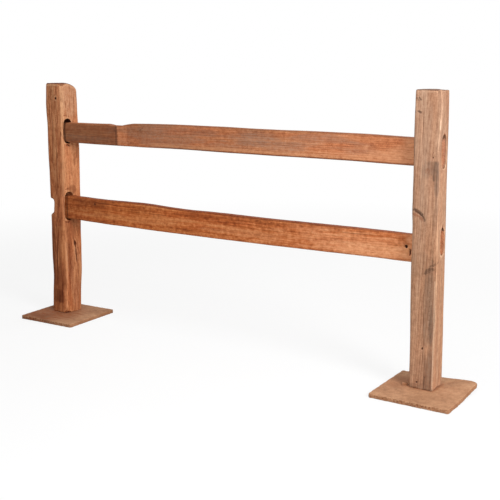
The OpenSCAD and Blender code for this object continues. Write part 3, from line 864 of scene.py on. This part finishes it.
rightPost = {
    "origin": rightFoot, "grain": 2, "squeeze": 2.5, "skin": 0.0017,
    "meeting": [((-60, -17, 504), (60, 27, 612), 0.0), ((-60, -17, 817), (60, 27, 942), 0.0)],
    "edges": [("back", "right", 0.3, 0, 1200)],
    "heart": (70, 40), "skew": (0.02, 0.03), "sway": 14, "ring": 6.0, "long": 70,
    "broad": 0.9, "band": 0.8, "streak": 0.6, "fine": 0.6, "mottle": 0.8, "blotch": 0.8, "speck": 0.6,
    "rings": 0.25, "ringDepth": 0.25,
    "warmth": 0.45, "wear": 0.3, "dirt": 0.7, "pits": 0.4,
    "bump": 0.5, "roughness": 0.8, "sheen": 0.2,
    **tones(deepTone=(146, 106, 82), bodyTone=(184, 141, 113), paleTone=(214, 172, 142)),
    "tints": [(0, (0.96, 0.96, 0.94)), (500, (0.95, 0.93, 0.88)), (760, (0.94, 0.94, 0.93)),
              (1100, (0.93, 0.94, 0.95))],
    **tones(warmTone=(255, 222, 196), greyDeep=(140, 106, 86), greyTone=(186, 148, 124),
            stainTone=(176, 182, 190), freshDeep=(222, 164, 124), freshTone=(246, 208, 174),
            endTone=(165, 145, 130), wornTone=(226, 184, 152), dirtTone=(140, 105, 84),
            knotTone=(104, 74, 58), gapTone=(66, 44, 34)),
    "marks": {
        # spike knot that curves down from the left edge, rays of the big knot round the right one
        "gapTone": [
            ([(-52, -50, 672), (-38, -50, 671), (-4, -50, 650), (4, -50, 636)], 5.0, 0.6),
            ([(-34, -50, 672), (-22, -50, 666), (-9, -50, 656)], 9.5, 0.75),
            ([(-14, -50, 656), (-4, -50, 648), (2, -50, 638)], 9.0, 0.4),
            ([(10, -50, 446), (17, -50, 457), (28, -50, 462), (38, -50, 465)], 8.0, 0.7),
            ([(18, -50, 448), (32, -50, 456), (44, -50, 462)], 4.5, 0.45),
            ([(30, -50, 474), (42, -50, 478), (50, -42, 486), (50, -30, 492)], 6.0, 0.55),
            ([(36, -50, 470), (38, -50, 494)], 4.5, 0.35),
            ([(-48, -49, 1068), (-38, -50, 1069), (-34, -50, 1062)], 4.5, 0.6),
            ([(-30, -50, 1070), (-24, -50, 1063)], 5.0, 0.6),
            ([(-50, -49, 1026), (-46, -50, 1019)], 6.0, 0.8),
            ([(-31, -50, 1022), (-23, -50, 1019)], 6.0, 0.75),
            ([(18, -50, 62), (17, -50, 16)], 2.6, 0.6),
            ([(-50, -46, 566), (-49, -47, 558)], 5.0, 0.8),
        ],
        "redTone": [
            ([(-50, -50, 658), (-36, -50, 655), (-20, -50, 650), (-8, -50, 640)], 6.5, 0.6),
            # red-brown painted shade in the top of each slot, over the rail's tip
            ([(30, 4, 606), (54, 6, 610)], 16.0, 0.9),
            ([(30, 4, 932), (54, 6, 938)], 16.0, 0.9),
            ([(2, -50, 806), (3, -50, 818), (10, -50, 823), (15, -50, 814), (11, -50, 805)], 3.0, 0.4),
            ([(8, -50, 816), (8, -50, 812)], 3.5, 0.5),
        ],
        # painted highlight down the front-right arris
        "lightTone": [
            ([(57, -46, 1085), (55, -45, 1010), (50, -47, 955)], 2.6, 0.5),
            ([(54, -46, 990), (52, -46, 962)], 6.0, 0.9),
            ([(48, -49, 420), (48, -49, 300), (48, -49, 190), (48, -49, 20)], 2.4, 0.45),
        ],
    },
    **tones(lightTone=(238, 200, 168), redTone=(140, 84, 58)),
    "grooves": {
        "front": [
            ([(-47, 672), (-36, 670), (-22, 662), (-8, 652), (4, 634)], 5, 1.4, 0.0, 0.8, 21),
            ([(-14, 1040), (-12, 860)], 2.2, 0.9, 0.3, 1.5, 25),
            ([(8, 420), (6, 300), (9, 190), (7, 60)], 2.6, 1.0, 0.4, 1.2, 26),
        ],
        "back": [([(8, 1060), (12, 800), (6, 620)], 3.0, 4.0, 0.9, 2.0, 28)],
        "left": [([(-8, 800), (-4, 600), (-10, 470)], 2.6, 2.6, 0.8, 2.0, 29)],
    },
    "patches": {
        "fresh": [
            # the mortises show clean wood
            ((0, 5, 880), (80, 26, 67), 0.6, 0.1, 34, 0.06, 4),
            ((0, 3, 558), (80, 28, 60), 0.6, 0.1, 35, 0.06, 4),
        ],
        "stain": [
            # the dark top of the post
            ((0, 0, 1101), (90, 90, 6), 0.7, 0.1, 37),
            ((-10, -49, 10), (60, 14, 22), 0.4, 0.5, 27),
        ],
        "fresh front": [((0, -49, 1000), (80, 14, 120), 0.12, 0.5, 39, 0.6)],
        "grey": [
            ((-20, -49, 780), (44, 14, 320), 0.4, 0.8, 21),
            ((0, 49, 560), (60, 30, 560), 0.6, 0.5, 23),
        ],
        "stain front": [
            # dark square-topped patch by the right edge, with a faint ring knot beside it
            ((39, -49, 812), (11, 14, 36), 0.95, 0.15, 24, 0.1, 5),
            ((42, -49, 766), (9, 14, 40), 0.8, 0.3, 30, 0.3),
            ((24, -49, 824), (20, 14, 26), 0.5, 0.2, 28, 0.12, 5),
            ((4, -49, 815), (18, 12, 30), 0.35, 0.4, 29, 0.3),
            ((43, -49, 660), (6, 14, 80), 0.35, 0.5, 31),
            ((29, -49, 325), (19, 14, 135), 0.6, 0.2, 25, 0.14, 5),
            ((38, -49, 260), (8, 14, 80), 0.85, 0.3, 32, 0.2),
            ((31, -49, 60), (17, 14, 100), 0.72, 0.4, 26, 0.3, 4),
            ((33, -49, 22), (15, 14, 18), 0.75, 0.4, 36, 0.25, 4),
            ((0, -49, 470), (60, 14, 40), 0.25, 0.5, 33),
        ],
    },
}


def makeRightPost(s):
    post = Timber("right_post", s)
    post.roundEnd(5, 0.5, 2)
    post.dish((26, 0), (40, 90), 5)
    post.wave((40, 40, 200), 0.7, 13)
    post.ridges(6, 220, 0.35, 15)
    post.ridges(2.8, 90, 0.2, 16)
    post.arrisWear((20, 20, 50), 1.5, 14)
    post.keenEdge("front", "right", 11, 0.8)
    # the front spreads to the right near the top
    post.push((49, -49, 1040), (50, 70, 170), (9, 0, 0))
    post.swell((-47, -49, 660), (30, 30, 50), 1.6)
    post.knot("back", (-18, 560), 12, 1.3, 0.6, 0.9, seed=16)
    post.knot("left", (14, 330), 9, 1.4, 0.5, 0.9, seed=17)
    post.grooves(s["grooves"])
    # saw marks slant across the dark strip
    for number, height in enumerate(range(210, 440, 17)):
        post.groove("front", [(20, height - 8), (46, height + 6)], 2.2, 0.6, 0.22, 0.8, 60 + number)
    for place, radius in (((29, 880), 1.4), ((28, 861), 2.6), ((6, 167), 3.4)):
        post.hole("front", place, radius, 3, 0.8)
    post.hole("front", (-12, 37), 3.6, 3, 0.9)
    for height in (988, 966, 1008):
        post.chip((52, -48, height), (0.8, -0.6, 0.1), (7, 7, 14), 0.3, 1.0, height)
    # a flake torn from the left edge
    post.chip((-50, -47, 577), (-0.7, -0.6, 0.2), (9, 9, 9), 0.3, 1.0, seed=38)
    post.patches(s["patches"])
    return post.finish(timberFinish("rightPostWood", s), "right_post_wood")


upperRail = {
    "origin": leftFoot, "grain": 0, "squeeze": 2.4, "skin": 0.0018,
    "meeting": [((-60, -60, 700), (46, 60, 1000), 0.0), ((1804, -60, 700), (1890, 60, 1000), 0.0)],
    "edges": [("front", "foot", 0.2, 0, 1850)],
    "heart": (-10, 95), "skew": (0.012, 0.01), "sway": 20, "ring": 8.0, "long": 110,
    "broad": 0.7, "band": 0.7, "streak": 0.7, "fine": 0.6, "mottle": 0.9, "blotch": 0.7, "speck": 0.7,
    "rings": 0.2, "ringDepth": 0.3,
    "warmth": 0.3, "wear": 0.5, "dirt": 0.7, "pits": 0.4,
    "bump": 0.5, "roughness": 0.7, "sheen": 0.2,
    **tones(deepTone=(146, 82, 50), bodyTone=(196, 124, 82), paleTone=(222, 158, 116)),
    "tints": [(0, (0.98, 1.02, 1.0)), (300, (0.97, 0.99, 0.97)), (400, (0.88, 0.86, 0.82)),
              (620, (0.92, 0.89, 0.85)), (900, (0.93, 0.92, 0.88)), (1300, (0.98, 1, 1)),
              (1850, (1, 1, 1))],
    **tones(warmTone=(255, 205, 180), greyDeep=(146, 100, 76), greyTone=(178, 134, 110),
            stainTone=(184, 180, 178), freshDeep=(200, 130, 90), freshTone=(226, 164, 122),
            endTone=(236, 222, 208), wornTone=(226, 156, 108), dirtTone=(146, 98, 74),
            knotTone=(110, 66, 44), gapTone=(50, 27, 17)),
    "marks": {
        "wornTone": [([(1766, -13, 898), (1786, -13, 901), (1800, -13, 900)], 4.0, 0.8)],
        "darkTone": [
            ([(478, -24, 890), (492, -24, 896), (510, -24, 908)], 4.0, 0.6),
            ([(357, -27, 925), (357, -27, 880), (359, -27, 826)], 8.0, 0.75),
        ],
        # painted shade on the tenon's front inside the left mortise's mouth
        "gapTone": [([(46, -33, 915), (44, -33, 880), (47, -33, 826)], 6.0, 0.7)],
    },
    **tones(darkTone=(104, 62, 42)),
    "grooves": {
        "front": [
            ([(60, 870), (190, 868), (330, 862)], 2.2, 0.8, 0.35, 1.5, 31),
            ([(500, 880), (700, 876), (880, 880)], 2.0, 0.8, 0.3, 2.0, 32),
            ([(1000, 862), (1240, 868), (1420, 866)], 2.0, 0.7, 0.3, 2.0, 33),
        ],
        "back": [([(300, 880), (700, 872), (1200, 882), (1600, 878)], 2.8, 3.5, 0.9, 2.5, 34)],
    },
    "patches": {
        "stain front": [
            # darker left end up to the split, then the bare split itself
            ((150, -10, 870), (212, 60, 110), 0.95, 0.06, 31, 0.02, 8),
            ((344, -20, 870), (20, 60, 90), 0.35, 0.3, 39, 0.2, 4),
        ],
        "stain top back foot": [((60, 0, 870), (330, 90, 130), 0.55, 0.9, 53, 0.9)],
        "fresh front": [
            ((386, -20, 870), (24, 60, 90), 0.1, 0.3, 32, 0.3, 4),
            ((1720, -20, 852), (150, 40, 34), 0.7, 0.6, 37),
            # painted light at the right end, where the right post's shadow falls
            ((1810, -20, 880), (60, 40, 60), 1.0, 0.2, 47),
        ],
        "grey front": [
            ((190, -30, 850), (150, 30, 14), 0.5, 0.8, 50),
            ((640, -20, 880), (260, 30, 50), 0.6, 0.9, 51),
        ],
        "grey": [
            ((560, -20, 892), (140, 30, 30), 0.8, 0.7, 33, 0.5),
            ((700, -20, 866), (120, 30, 20), 0.6, 0.7, 35, 0.5),
            ((850, -20, 900), (90, 30, 18), 0.5, 0.7, 40, 0.5),
            ((1090, -20, 886), (110, 30, 34), 0.9, 0.7, 34, 0.5),
            ((1230, -20, 868), (120, 30, 22), 0.7, 0.7, 41, 0.5),
            ((1400, -20, 900), (120, 30, 22), 0.6, 0.7, 36, 0.5),
            ((1560, -20, 870), (90, 30, 20), 0.5, 0.7, 42, 0.5),
            ((960, -20, 850), (90, 30, 16), 0.5, 0.7, 43, 0.5),
            ((1900, 0, 872), (14, 60, 90), 1.0, 0.1, 49, 0.1),
        ],
        "stain top": [((900, 0, 930), (1000, 60, 26), 0.9, 0.2, 45)],
    },
}


def makeUpperRail(s):
    rail = Timber("upper_rail", s)
    rail.wave((150, 26, 26), 0.8, 33)
    rail.ridges(6, 200, 0.45, 35)
    rail.ridges(3, 90, 0.22, 36)
    rail.arrisWear((60, 18, 18), 1.6, 34)
    rail.grooves(s["grooves"])
    rail.knot("back", (980, 872), 14, 1.3, 0.7, 1.0, seed=31)
    # pale band low on the front over a dark line of painted shade along the foot edge, and a dark line along
    # the top
    rail.rim("fresh", "front", "foot", 14, 9, 0.6, 560, 1850, 0.6, 44)
    rail.rim("stain", "front", "foot", 2, 5, 0.9, 620, 1850, 0.4, 46)
    rail.rim("stain", "front", "top", 2, 6, 0.6, 60, 1850, 0.7, 48)
    rail.patches(s["patches"])
    # the right tip stands a little further out of its mortise
    rail.push((1896, 5, 872), (40, 60, 80), (5, 0, 0))
    rail.patch("grey", ["back"], (900, 20, 880), (900, 20, 60), 0.6, 0.8, 38)
    return rail.finish(timberFinish("upperRailWood", s), "upper_rail_wood")


lowerRail = {
    "origin": leftFoot, "grain": 0, "squeeze": 2.4, "skin": 0.0018,
    "meeting": [((-60, -60, 400), (46, 60, 700), 0.0), ((1804, -60, 400), (1890, 60, 700), 0.0)],
    "edges": [("front", "foot", 0.3, 0, 1850), ("front", "top", 0.25, 0, 1850)],
    "heart": (20, 80), "skew": (0.01, -0.012), "sway": 24, "ring": 7.0, "long": 70,
    "broad": 1.2, "band": 0.7, "streak": 0.4, "fine": 0.35, "mottle": 1.4, "blotch": 0.8, "speck": 0.5,
    "rings": 0.2, "ringDepth": 0.3,
    "warmth": 0.3, "wear": 0.5, "dirt": 0.7, "pits": 0.6, "holeRing": 0.7,
    "bump": 0.5, "roughness": 0.68, "sheen": 0.15,
    **tones(deepTone=(140, 72, 36), bodyTone=(192, 112, 64), paleTone=(224, 152, 104)),
    "tints": [(0, (0.7, 0.6, 0.48)), (400, (0.94, 0.84, 0.62)), (1000, (0.96, 0.88, 0.76)),
              (1450, (1, 1, 1)), (1850, (1, 1, 1))],
    **tones(warmTone=(255, 200, 165), greyDeep=(150, 96, 66), greyTone=(196, 140, 106),
            stainTone=(156, 130, 112), freshDeep=(210, 134, 88), freshTone=(240, 176, 130),
            endTone=(236, 222, 208), wornTone=(228, 158, 108), dirtTone=(138, 84, 56),
            knotTone=(140, 96, 70), gapTone=(46, 23, 13)),
    "marks": {
        "wornTone": [
            ([(560, -29, 548), (562, -29, 520)], 3.5, 0.4),
            ([(598, -29, 560), (600, -29, 530)], 4.0, 0.45),
            ([(652, -28, 556), (654, -28, 530)], 4.0, 0.45),
            ([(700, -28, 560), (696, -28, 536)], 3.5, 0.35),
            ([(939, -24, 560), (937, -24, 516)], 4.0, 0.4),
            ([(975, -24, 548), (970, -24, 500)], 4.5, 0.35),
            ([(1764, -7, 509), (1777, -7, 511)], 9.0, 0.7),
        ],
        "darkTone": [
            ([(1362, -20, 575), (1366, -20, 545), (1358, -20, 500)], 9.0, 0.4),
            ([(225, -33, 556), (240, -33, 566)], 4.0, 0.5),
        ],
        # painted shade on the tenon's front inside the left mortise's mouth, and on the right tip by the
        # front of its mortise
        "gapTone": [
            ([(46, -33, 590), (45, -33, 540), (47, -33, 470)], 6.0, 0.7),
            ([(1902, -5, 596), (1902, -2, 560), (1902, 1, 528)], 5.0, 0.6),
        ],
    },
    **tones(darkTone=(140, 74, 40)),
    "grooves": {
        "front": [
            ([(120, 560), (300, 555), (520, 552)], 2.4, 1.0, 0.45, 2.0, 41),
            ([(700, 540), (900, 536), (1150, 538)], 2.2, 0.9, 0.35, 2.0, 42),
            ([(1300, 548), (1500, 552), (1700, 556)], 2.2, 0.9, 0.45, 2.0, 43),
        ],
        "back": [([(200, 545), (700, 538), (1100, 545), (1500, 542)], 3.0, 3.5, 0.9, 2.5, 44)],
    },
    "patches": {
        "stain front": [
            ((200, -20, 565), (110, 40, 26), 0.45, 0.6, 41),
            ((860, -20, 560), (140, 40, 22), 0.35, 0.9, 42),
        ],
        "fresh front": [
            ((1640, -20, 500), (240, 40, 40), 0.8, 0.6, 43),
            ((1500, -20, 530), (260, 40, 30), 0.4, 0.9, 47),
            ((420, -20, 500), (260, 40, 14), 0.4, 0.9, 44),
            ((640, -20, 520), (120, 40, 18), 0.35, 0.9, 48),
            ((1050, -20, 500), (200, 40, 16), 0.45, 0.9, 49),
            ((1776, -20, 500), (18, 40, 22), 1.0, 0.2, 50),
            # painted light at the right end, where the right post's shadow falls
            ((1815, -20, 530), (50, 40, 60), 1.0, 0.2, 52),
        ],
        "stain top": [((900, 0, 600), (1000, 60, 60), 1.0, 0.1, 45)],
        "grey": [((1900, 0, 552), (14, 60, 90), 1.0, 0.1, 51, 0.1)],
        "gap": [((1766, -6, 527), (4.4, 20, 4.4), 1.0, 0.0, 53, 0.2)],
    },
}


def makeLowerRail(s):
    rail = Timber("lower_rail", s)
    rail.wave((130, 24, 24), 0.9, 43)
    rail.wave((50, 16, 16), 0.4, 47)
    rail.ridges(6, 180, 0.5, 45)
    rail.ridges(3, 80, 0.25, 46)
    rail.arrisWear((60, 18, 18), 1.8, 44)
    rail.grooves(s["grooves"])
    rail.knot("front", (222, 550), 8, 1.3, 0.4, 0.55, seed=41)
    rail.knot("back", (620, 540), 13, 1.4, 0.7, 1.0, seed=42)
    rail.swell((1040, 0, 597), (14, 30, 14), 2.0)
    rail.hole("front", (1766, 527), 5.4, 12)
    rail.groove("front", [(1783, 522), (1781, 508), (1783, 492)], 5.0, 7, 1.0, 0.4, 48)
    rail.rim("fresh", "front", "foot", 16, 6, 0.5, 1300, 1850, 0.5, 54)
    rail.patches(s["patches"])
    # the right tip stands further out and a little higher
    rail.push((1896, 5, 552), (60, 60, 80), (5, 0, 0.8))
    return rail.finish(timberFinish("lowerRailWood", s), "lower_rail_wood")


# Base plates: squares of old board, frayed at the edges, screwed up into the posts from below

def boardFinish(name, s):
    f = Finish(name)
    place = f.millimetres()

    def speckle(size, detail, rough, shift, drawn=(1, 1, 1)):
        return f.drawnNoise(place, drawn, size, detail, rough, (shift, shift, shift))

    cloudy = speckle(85, 4.0, 0.55, 1.0)
    blotch = speckle(22, 4.0, 0.6, 4.0)
    grainy = speckle(4.5, 3.0, 0.6, 7.0)
    dust = speckle(1.6, 2.0, 0.6, 9.0)
    strand = speckle(3.2, 3.0, 0.6, 12.0, (0.22, 1, 1)) + speckle(3.2, 3.0, 0.6, 15.0, (1, 0.22, 1))
    flecks = f.node("TexVoronoi", None, {"Vector": place, "Scale": 1 / 9.0}, out="Distance")
    fleck = ((0.16 - flecks).ease(0.0, 0.08) * (blotch * 5 + 0.3).held())

    relief, stain, gap, side, holes = map(f.stored, ("relief", "stain", "gap", "side", "holes"))
    tone = (0.5 + cloudy * 1.1 + blotch * 1.1 + grainy * 0.9 + strand * 0.35 + dust * 0.5).held()
    colour = f.threeTones(tone, s)
    colour = f.blend((stain * (0.85 + blotch * 2)).held(), colour, s["stainTone"], "MULTIPLY")
    colour = f.blend(side * (0.55 + grainy * 1.2).held(), colour, s["sideTone"], "MULTIPLY")
    colour = f.blend((relief.ease(0.15, 0.7) * 0.5).held(), colour, s["wornTone"])
    # painted shade in the board's hollows
    colour = f.blend(((0 - relief).ease(0.05, 0.45) * 0.8).held(), colour, s["stainTone"], "MULTIPLY")
    colour = f.blend(fleck * 0.55, colour, s["stainTone"], "MULTIPLY")
    colour = f.blend(gap.ease(0.1, 0.9), colour, s["gapTone"])
    colour = f.blend(1 - holes.ease(-0.9, 0.7), colour, s["gapTone"])

    height = grainy * 0.5 + dust * 0.35 + blotch * 0.4 + strand * 0.25 - fleck * 0.4
    rough = (s["roughness"] + grainy * 0.2 - cloudy * 0.15).held()
    f.set(Base_Color=colour, Roughness=rough, Normal=f.bump(s["bump"], height))
    f.shader.inputs["Specular IOR Level"].default_value = s["sheen"]
    return f.material


plateBoard = {
    "grain": 0, "squeeze": 1.0, "skin": 0.002, "meeting": [], "edges": [],
    "fray": 1.3, "dimple": 0.35, "bump": 0.7, "roughness": 0.86, "sheen": 0.25,
    # the curl lifts one corner, fades out over its reach and is held down round the post
    "curl": 11, "curlCorner": (150, 150), "curlReach": 210, "heldReach": 62, "postHalf": 49,
    # radius, depth and darkness of the wood round a screw's head
    "screwPit": (5.2, 2.6, 0.4),
    **tones(deepTone=(140, 99, 72), bodyTone=(177, 130, 96), paleTone=(202, 156, 120),
            stainTone=(190, 136, 92), sideTone=(214, 190, 172), wornTone=(206, 160, 124),
            gapTone=(52, 30, 18)),
}


def makePlate(name, foot, material, s, shift, curl=0.0):
    low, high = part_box(name)
    s = {**s, "origin": ((low[0] + high[0]) / 2, (low[1] + high[1]) / 2, 0.0)}
    plate = Timber(name, s)
    side = 1 - smooth(np.abs(plate.normals[:, 2]), 0.5, 0.9)
    plate.fields["side"] = side
    fine = cloud(plate.points, (5, 5, 9), 51 + shift)
    broad = cloud(plate.points, (26, 26, 26), 52 + shift)
    plate.sunk -= side * s["fray"] * smooth(0.5 + fine, 0.2, 1.2)
    plate.sunk -= side * s["fray"] * 0.8 * smooth(0.3 + broad, 0.2, 1)
    flat = smooth(plate.normals[:, 2], 0.6, 0.95)
    postAt = (np.array(foot[:2]) - np.array(s["origin"][:2])) * 1000
    away = np.max(np.abs(plate.points[:, :2] - postAt) - s["postHalf"], axis=1)
    clear = smooth(away, 0, 8)
    plate.sunk += flat * clear * s["dimple"] * (cloud(plate.points, (11, 11, 11), 53) - 0.2)
    plate.sunk += flat * clear * s["dimple"] * cloud(plate.points, (34, 34, 34), 54)
    plate.arrisWear((9, 9, 9), 1.1, 55)
    # one corner has curled up off the floor
    corner = np.linalg.norm(plate.points[:, :2] - np.array(s["curlCorner"]), axis=1)
    held = smooth(away, 2, s["heldReach"])
    plate.points[:, 2] += curl * (1 - smooth(corner, 0, s["curlReach"])) * held
    if name == "left_base_plate":
        plate.patch("stain", [], (-60, -60, 16), (130, 150, 40), 0.8, 0.5, 52, 0.6)
        # painted shadow of the post on the board, to its left
        plate.patch("stain", [], (postAt[0] - 80, postAt[1] - 10, 16), (36, 26, 20), 0.9, 0.4, 55)
    else:
        # painted shadow of the post on the board, to its left
        plate.patch("stain", [], (-100, 20, 16), (60, 60, 40), 0.35, 0.3, 52, 0.4)
    # painted shade round the foot of the post, where it stands on the board
    plate.deepen("stain", 0.45 * flat * (1 - smooth(away, 1, 13)))
    for x, y in screw["places"]:
        plate.hole("foot", (postAt[0] + x, postAt[1] + y), *s["screwPit"])
    return plate.finish(material, "plate_board")


# Wood screws, countersunk from under each plate into the end of its post
screw = {
    "headRadius": 0.0046, "neckRadius": 0.0021, "headDepth": 0.003, "shank": 0.030, "sunk": 0.0005,
    "slotLong": 0.0052, "slotWide": 0.0011, "slotDeep": 0.0016, "tipLong": 0.006, "tipShare": 0.12,
    "bevel": 0.00018,
    # millimetres from the middle of the post
    "places": ((-24, -20), (22, -23), (-21, 22), (24, 19)),
    **tones(steel=(150, 146, 140), rust=(116, 70, 44)),
}


def screwFinish(s):
    f = Finish("dullScrewSteel")
    place = f.node("TexCoord", out="Object")
    cloudy = f.node("TexNoise", None, {"Vector": place, "Scale": 420.0, "Detail": 4.0}, out="Fac")
    fine = f.node("TexNoise", None, {"Vector": place, "Scale": 2600.0, "Detail": 3.0}, out="Fac")
    rust = cloudy.ease(0.46, 0.62)
    rough = (0.38 + rust * 0.4 + fine * 0.1).held()
    f.set(Base_Color=f.blend(rust, s["steel"], s["rust"]), Roughness=rough, Metallic=1 - rust * 0.9,
          Normal=f.bump(0.5, fine + rust, 0.0002))
    return f.material


def makeScrew(s):
    bpy.ops.mesh.primitive_cone_add(vertices=28, radius1=s["headRadius"], radius2=s["neckRadius"],
                                    depth=s["headDepth"], location=(0, 0, s["sunk"] + s["headDepth"] / 2))
    head = bpy.context.object
    head.name = "screwPattern"
    bpy.ops.object.transform_apply()
    bpy.ops.object.mode_set(mode="EDIT")
    bpy.ops.mesh.select_all(action="DESELECT")
    bpy.ops.object.mode_set(mode="OBJECT")
    for face in head.data.polygons:
        face.select = face.normal.z > 0.9
    bpy.ops.object.mode_set(mode="EDIT")
    bpy.ops.mesh.extrude_region_move(TRANSFORM_OT_translate={"value": (0, 0, s["shank"] - s["tipLong"])})
    bpy.ops.mesh.extrude_region_move(TRANSFORM_OT_translate={"value": (0, 0, s["tipLong"])})
    bpy.ops.transform.resize(value=(s["tipShare"], s["tipShare"], 1))
    bpy.ops.object.mode_set(mode="OBJECT")
    bpy.ops.object.select_all(action="DESELECT")
    for turn in (0, math.pi / 2):
        bpy.ops.mesh.primitive_cube_add(size=1, location=(0, 0, s["sunk"]), rotation=(0, 0, turn),
                                        scale=(s["slotLong"], s["slotWide"], s["slotDeep"] * 2))
        cutter = bpy.context.object
        slot = head.modifiers.new("slot", "BOOLEAN")
        slot.operation, slot.object = "DIFFERENCE", cutter
        bpy.context.view_layer.objects.active = head
        bpy.ops.object.modifier_apply(modifier="slot")
        bpy.data.objects.remove(cutter)
    edge = head.modifiers.new("edge", "BEVEL")
    edge.width, edge.segments = s["bevel"], 2
    edge.limit_method, edge.angle_limit = "ANGLE", 0.7
    bpy.ops.object.modifier_apply(modifier="edge")
    bpy.ops.object.select_all(action="DESELECT")
    return head


def placeScrews(s):
    pattern = makeScrew(s)
    steel = screwFinish(s)
    pattern.data.materials.clear()
    pattern.data.materials.append(steel)
    for side, foot in (("left", leftFoot), ("right", rightFoot)):
        for number, (x, y) in enumerate(s["places"], 1):
            piece = bpy.data.objects.new(f"{side}PlateScrew{number}", pattern.data.copy())
            bpy.context.collection.objects.link(piece)
            turn = Matrix.Rotation(0.7 * number + foot[0], 4, "Z")
            piece.data.transform(Matrix.Translation((foot[0] + x / 1000, foot[1] + y / 1000, 0)) @ turn)
            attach(piece, "root")
    bpy.data.objects.remove(pattern)
    print("screws placed", 2 * len(s["places"]))


# A loose chip of board that lies at the right post's foot
looseChip = {
    "grain": 0, "meeting": [], "edges": [],
    "at": (-64, -36, 17), "size": (22, 11, 8), "turn": 0.5, "bevel": 0.0004,
}


def makeChip(s, material):
    at = Vector(s["at"]) / 1000 + Vector(rightFoot)
    bpy.ops.mesh.primitive_cube_add(size=1, location=at, rotation=(0, 0, s["turn"]),
                                    scale=[side / 1000 for side in s["size"]])
    piece = bpy.context.object
    piece.name = "looseBoardChip"
    bpy.ops.object.transform_apply()
    bpy.ops.object.mode_set(mode="EDIT")
    bpy.ops.mesh.subdivide(number_cuts=3)
    bpy.ops.mesh.bevel(offset=s["bevel"], affect="EDGES")
    bpy.ops.object.mode_set(mode="OBJECT")
    smoother = piece.modifiers.new("round", "SUBSURF")
    smoother.levels = smoother.render_levels = 1
    bpy.ops.object.modifier_apply(modifier="round")
    bpy.ops.object.select_all(action="DESELECT")
    chip = Timber("looseBoardChip", {**s, "origin": rightFoot}, piece)
    chip.wave((6, 5, 5), 1.4, 71)
    chip.wave((2.5, 2, 2), 0.6, 72)
    chip.fields["stain"] += 0.35
    return chip.finish(material, "plate_board")


makeLeftPost(leftPost)
makeRightPost(rightPost)
makeUpperRail(upperRail)
makeLowerRail(lowerRail)
board = boardFinish("plateBoard", plateBoard)
makePlate("left_base_plate", leftFoot, board, plateBoard, 0)
makePlate("right_base_plate", rightFoot, board, plateBoard, 3, plateBoard["curl"])
placeScrews(screw)
makeChip(looseChip, board)
